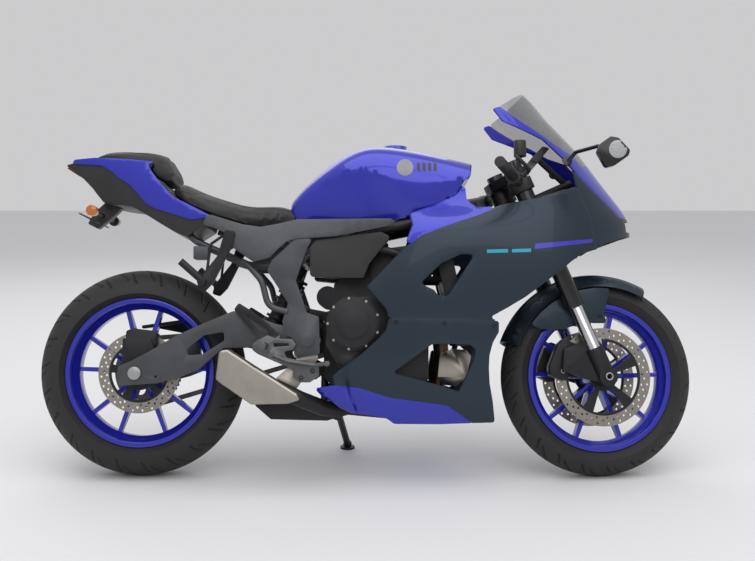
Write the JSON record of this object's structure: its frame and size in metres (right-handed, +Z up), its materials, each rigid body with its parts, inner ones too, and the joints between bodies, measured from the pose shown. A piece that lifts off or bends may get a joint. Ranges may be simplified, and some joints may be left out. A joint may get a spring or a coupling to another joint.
{
  "type": "sport motorcycle",
  "caption": "Faired sport motorcycle parked on its side stand, with turning wheels, steering and a folding stand.",
  "frame": {"origin": "under the middle of the standing motorcycle's box, on the ground", "axes": "+X towards the front wheel, +Y to the rider's left, +Z up; the bike leans to +Y on its stand"},
  "size_m": [2.0123, 0.6788, 1.1648],
  "materials": {
    "tyre_rubber": "matte",
    "blue_paint": "gloss",
    "slate_paint": "satin",
    "blue_panel": "gloss",
    "black_plastic": "matte",
    "black_metal": "satin",
    "grey_metal": "satin",
    "fork_metal": "satin",
    "disc_steel": "brushed",
    "chain_steel": "satin",
    "exhaust_steel": "satin",
    "header_steel": "satin",
    "engine_metal": "satin",
    "aluminium": "satin",
    "seat_cover": "matte",
    "screen": "gloss",
    "lamp_red": "gloss",
    "lens": "gloss"
  },
  "bodies": {
    "chassis": {"front_sprocket": "chain_steel", "chain": "chain_steel", "rear_axle": "aluminium", "main_frame": "black_metal", "subframe": "grey_metal", "pivot_plates": "grey_metal", "engine_block": "engine_metal", "engine_covers": "engine_metal", "radiator": "black_metal", "exhaust_headers": "header_steel", "collector_box": "black_metal", "muffler": "exhaust_steel", "swingarm": "grey_metal", "rear_caliper": "black_metal", "chain_guard": "black_plastic", "shock": "black_metal", "footrests": "aluminium", "passenger_footrests": "grey_metal", "fuel_tank": "blue_paint", "rider_seat": "seat_cover", "pillion_seat": "seat_cover", "tail_cowls": "blue_panel", "tail_undertray": "black_plastic", "tail_lamp": "lamp_red", "plate_holder": "black_plastic", "side_covers": "grey_metal", "airbox_covers": "black_plastic", "upper_fairing_left": "slate_paint", "upper_fairing_right": "slate_paint", "lower_fairing_left": "slate_paint", "lower_fairing_right": "slate_paint", "tank_side_cowls": "blue_panel", "nose_cowl": "slate_paint", "screen_surround": "blue_panel", "windscreen": "screen", "headlamp": "lens", "belly_pan": "blue_panel", "cockpit_panels": "black_plastic", "mirrors": "black_plastic"},
    "steering": {"triple_clamps": "black_metal", "fork_tubes": "fork_metal", "fork_feet": "black_metal", "clip_ons": "black_plastic", "front_mudguard": "slate_paint", "front_calipers": "black_metal", "front_axle": "aluminium"},
    "front_wheel": {"front_tyre": "tyre_rubber", "front_rim": "blue_paint", "front_disc_right": "disc_steel", "front_disc_left": "disc_steel"},
    "rear_wheel": {"rear_tyre": "tyre_rubber", "rear_rim": "blue_paint", "rear_disc": "disc_steel", "rear_sprocket": "chain_steel"},
    "side_stand": {"side_stand": "black_metal"}
  },
  "joints": [
    {"name": "steering", "type": "hinge", "parent": "chassis", "child": "steering", "pos_m": [0.4409, -0.00574, 0.80199], "axis": [-0.4005, 0.1747, 0.8995], "range_deg": [-36.5, 19.5]},
    {"name": "front_wheel_spin", "type": "hinge", "parent": "steering", "child": "front_wheel", "pos_m": [0.7084, -0.09893, 0.29257], "axis": [-0.1358, 0.9595, -0.2468], "continuous": true},
    {"name": "rear_wheel_spin", "type": "hinge", "parent": "chassis", "child": "rear_wheel", "pos_m": [-0.69118, -0.10157, 0.31087], "axis": [-0.0003, 0.9816, -0.1908], "continuous": true},
    {"name": "side_stand_fold", "type": "hinge", "parent": "chassis", "child": "side_stand", "pos_m": [-0.09782, -0.01548, 0.16581], "axis": [0.0008, 0.891, 0.454], "range_deg": [0, 95]}
  ]
}
